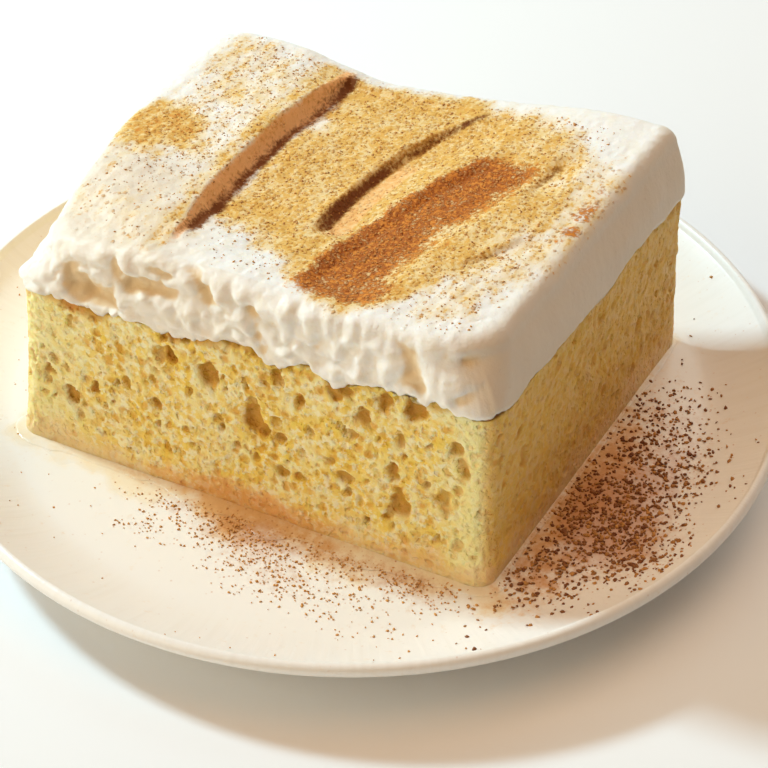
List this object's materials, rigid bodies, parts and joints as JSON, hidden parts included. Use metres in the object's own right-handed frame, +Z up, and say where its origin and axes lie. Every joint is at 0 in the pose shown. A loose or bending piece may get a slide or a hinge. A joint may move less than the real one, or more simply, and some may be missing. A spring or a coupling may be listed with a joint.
{
  "type": "tres leches cake slice on a plate",
  "caption": "Square slice of milk-soaked sponge under thick whipped cream with palette-knife strokes and ground cinnamon, on a small round plate.",
  "frame": {"origin": "centre of the plate's foot ring, on the surface the plate stands on", "axes": "+Z up, +X along the cut front face towards its right end, +Y from the front face towards the back of the slice"},
  "size_m": [0.16, 0.16, 0.0542],
  "materials": {
    "stoneware": "glazed off-white stoneware, with specks of cinnamon",
    "sponge_crumb": "moist open crumb, golden yellow, tan where the milk has soaked its foot",
    "whipped_cream": "soft satin cream, dusted golden brown with cinnamon on top"
  },
  "bodies": {
    "root": {"plate": "stoneware", "sponge": "sponge_crumb", "whipped_cream": "whipped_cream"}
  },
  "joints": []
}
